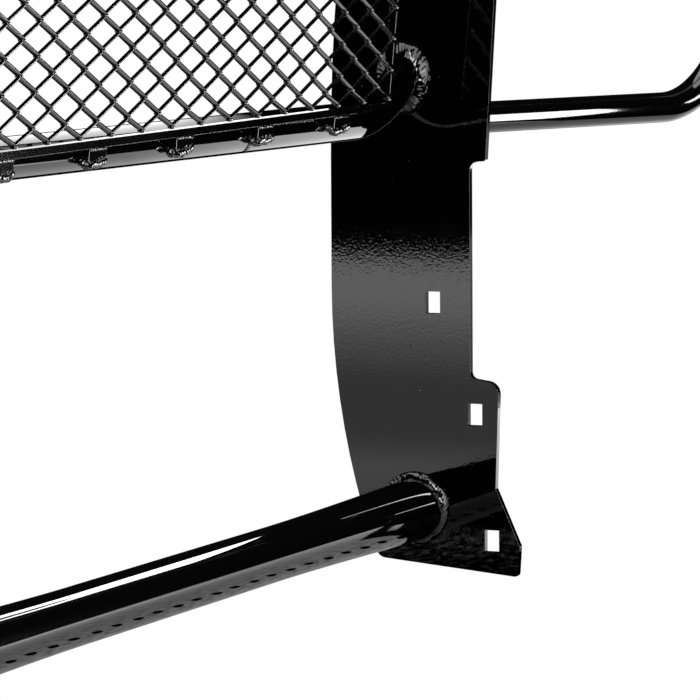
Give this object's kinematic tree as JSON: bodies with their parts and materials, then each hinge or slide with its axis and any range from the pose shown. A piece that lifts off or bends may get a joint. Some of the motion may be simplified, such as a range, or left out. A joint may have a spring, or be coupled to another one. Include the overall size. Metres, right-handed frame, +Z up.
{
  "type": "front grille guard",
  "caption": "Welded front grille guard for a pickup truck: flat upright plates joined by round rails, an expanded-metal insert, a lower cross tube and side headlight hoops.",
  "frame": {"origin": "middle of the guard's footprint, level with the lowest corners of the two upright plates", "axes": "X across the truck (the pictured plate is on the -X side), -Y towards the road ahead, +Y towards the truck, +Z up"},
  "size_m": [1.8248, 0.2449, 0.7336],
  "materials": {
    "plate": "gloss black powder coat, light orange peel",
    "tube": "gloss black powder coat",
    "insert": "gloss black powder coat over expanded metal"
  },
  "bodies": {
    "root": {"expanded_metal_panel": "insert", "headlight_hoop_left": "tube", "headlight_hoop_right": "tube", "insert_bar_bottom": "insert", "insert_bar_left": "insert", "insert_bar_right": "insert", "insert_bar_top": "insert", "insert_tab_lower_1": "insert", "insert_tab_lower_2": "insert", "insert_tab_lower_3": "insert", "insert_tab_lower_4": "insert", "insert_tab_lower_5": "insert", "insert_tab_upper_1": "insert", "insert_tab_upper_2": "insert", "insert_tab_upper_3": "insert", "insert_tab_upper_4": "insert", "insert_tab_upper_5": "insert", "lower_cross_tube": "tube", "lower_rail": "tube", "upper_rail": "tube", "upright_plate_left": "plate", "upright_plate_right": "plate"}
  },
  "joints": []
}
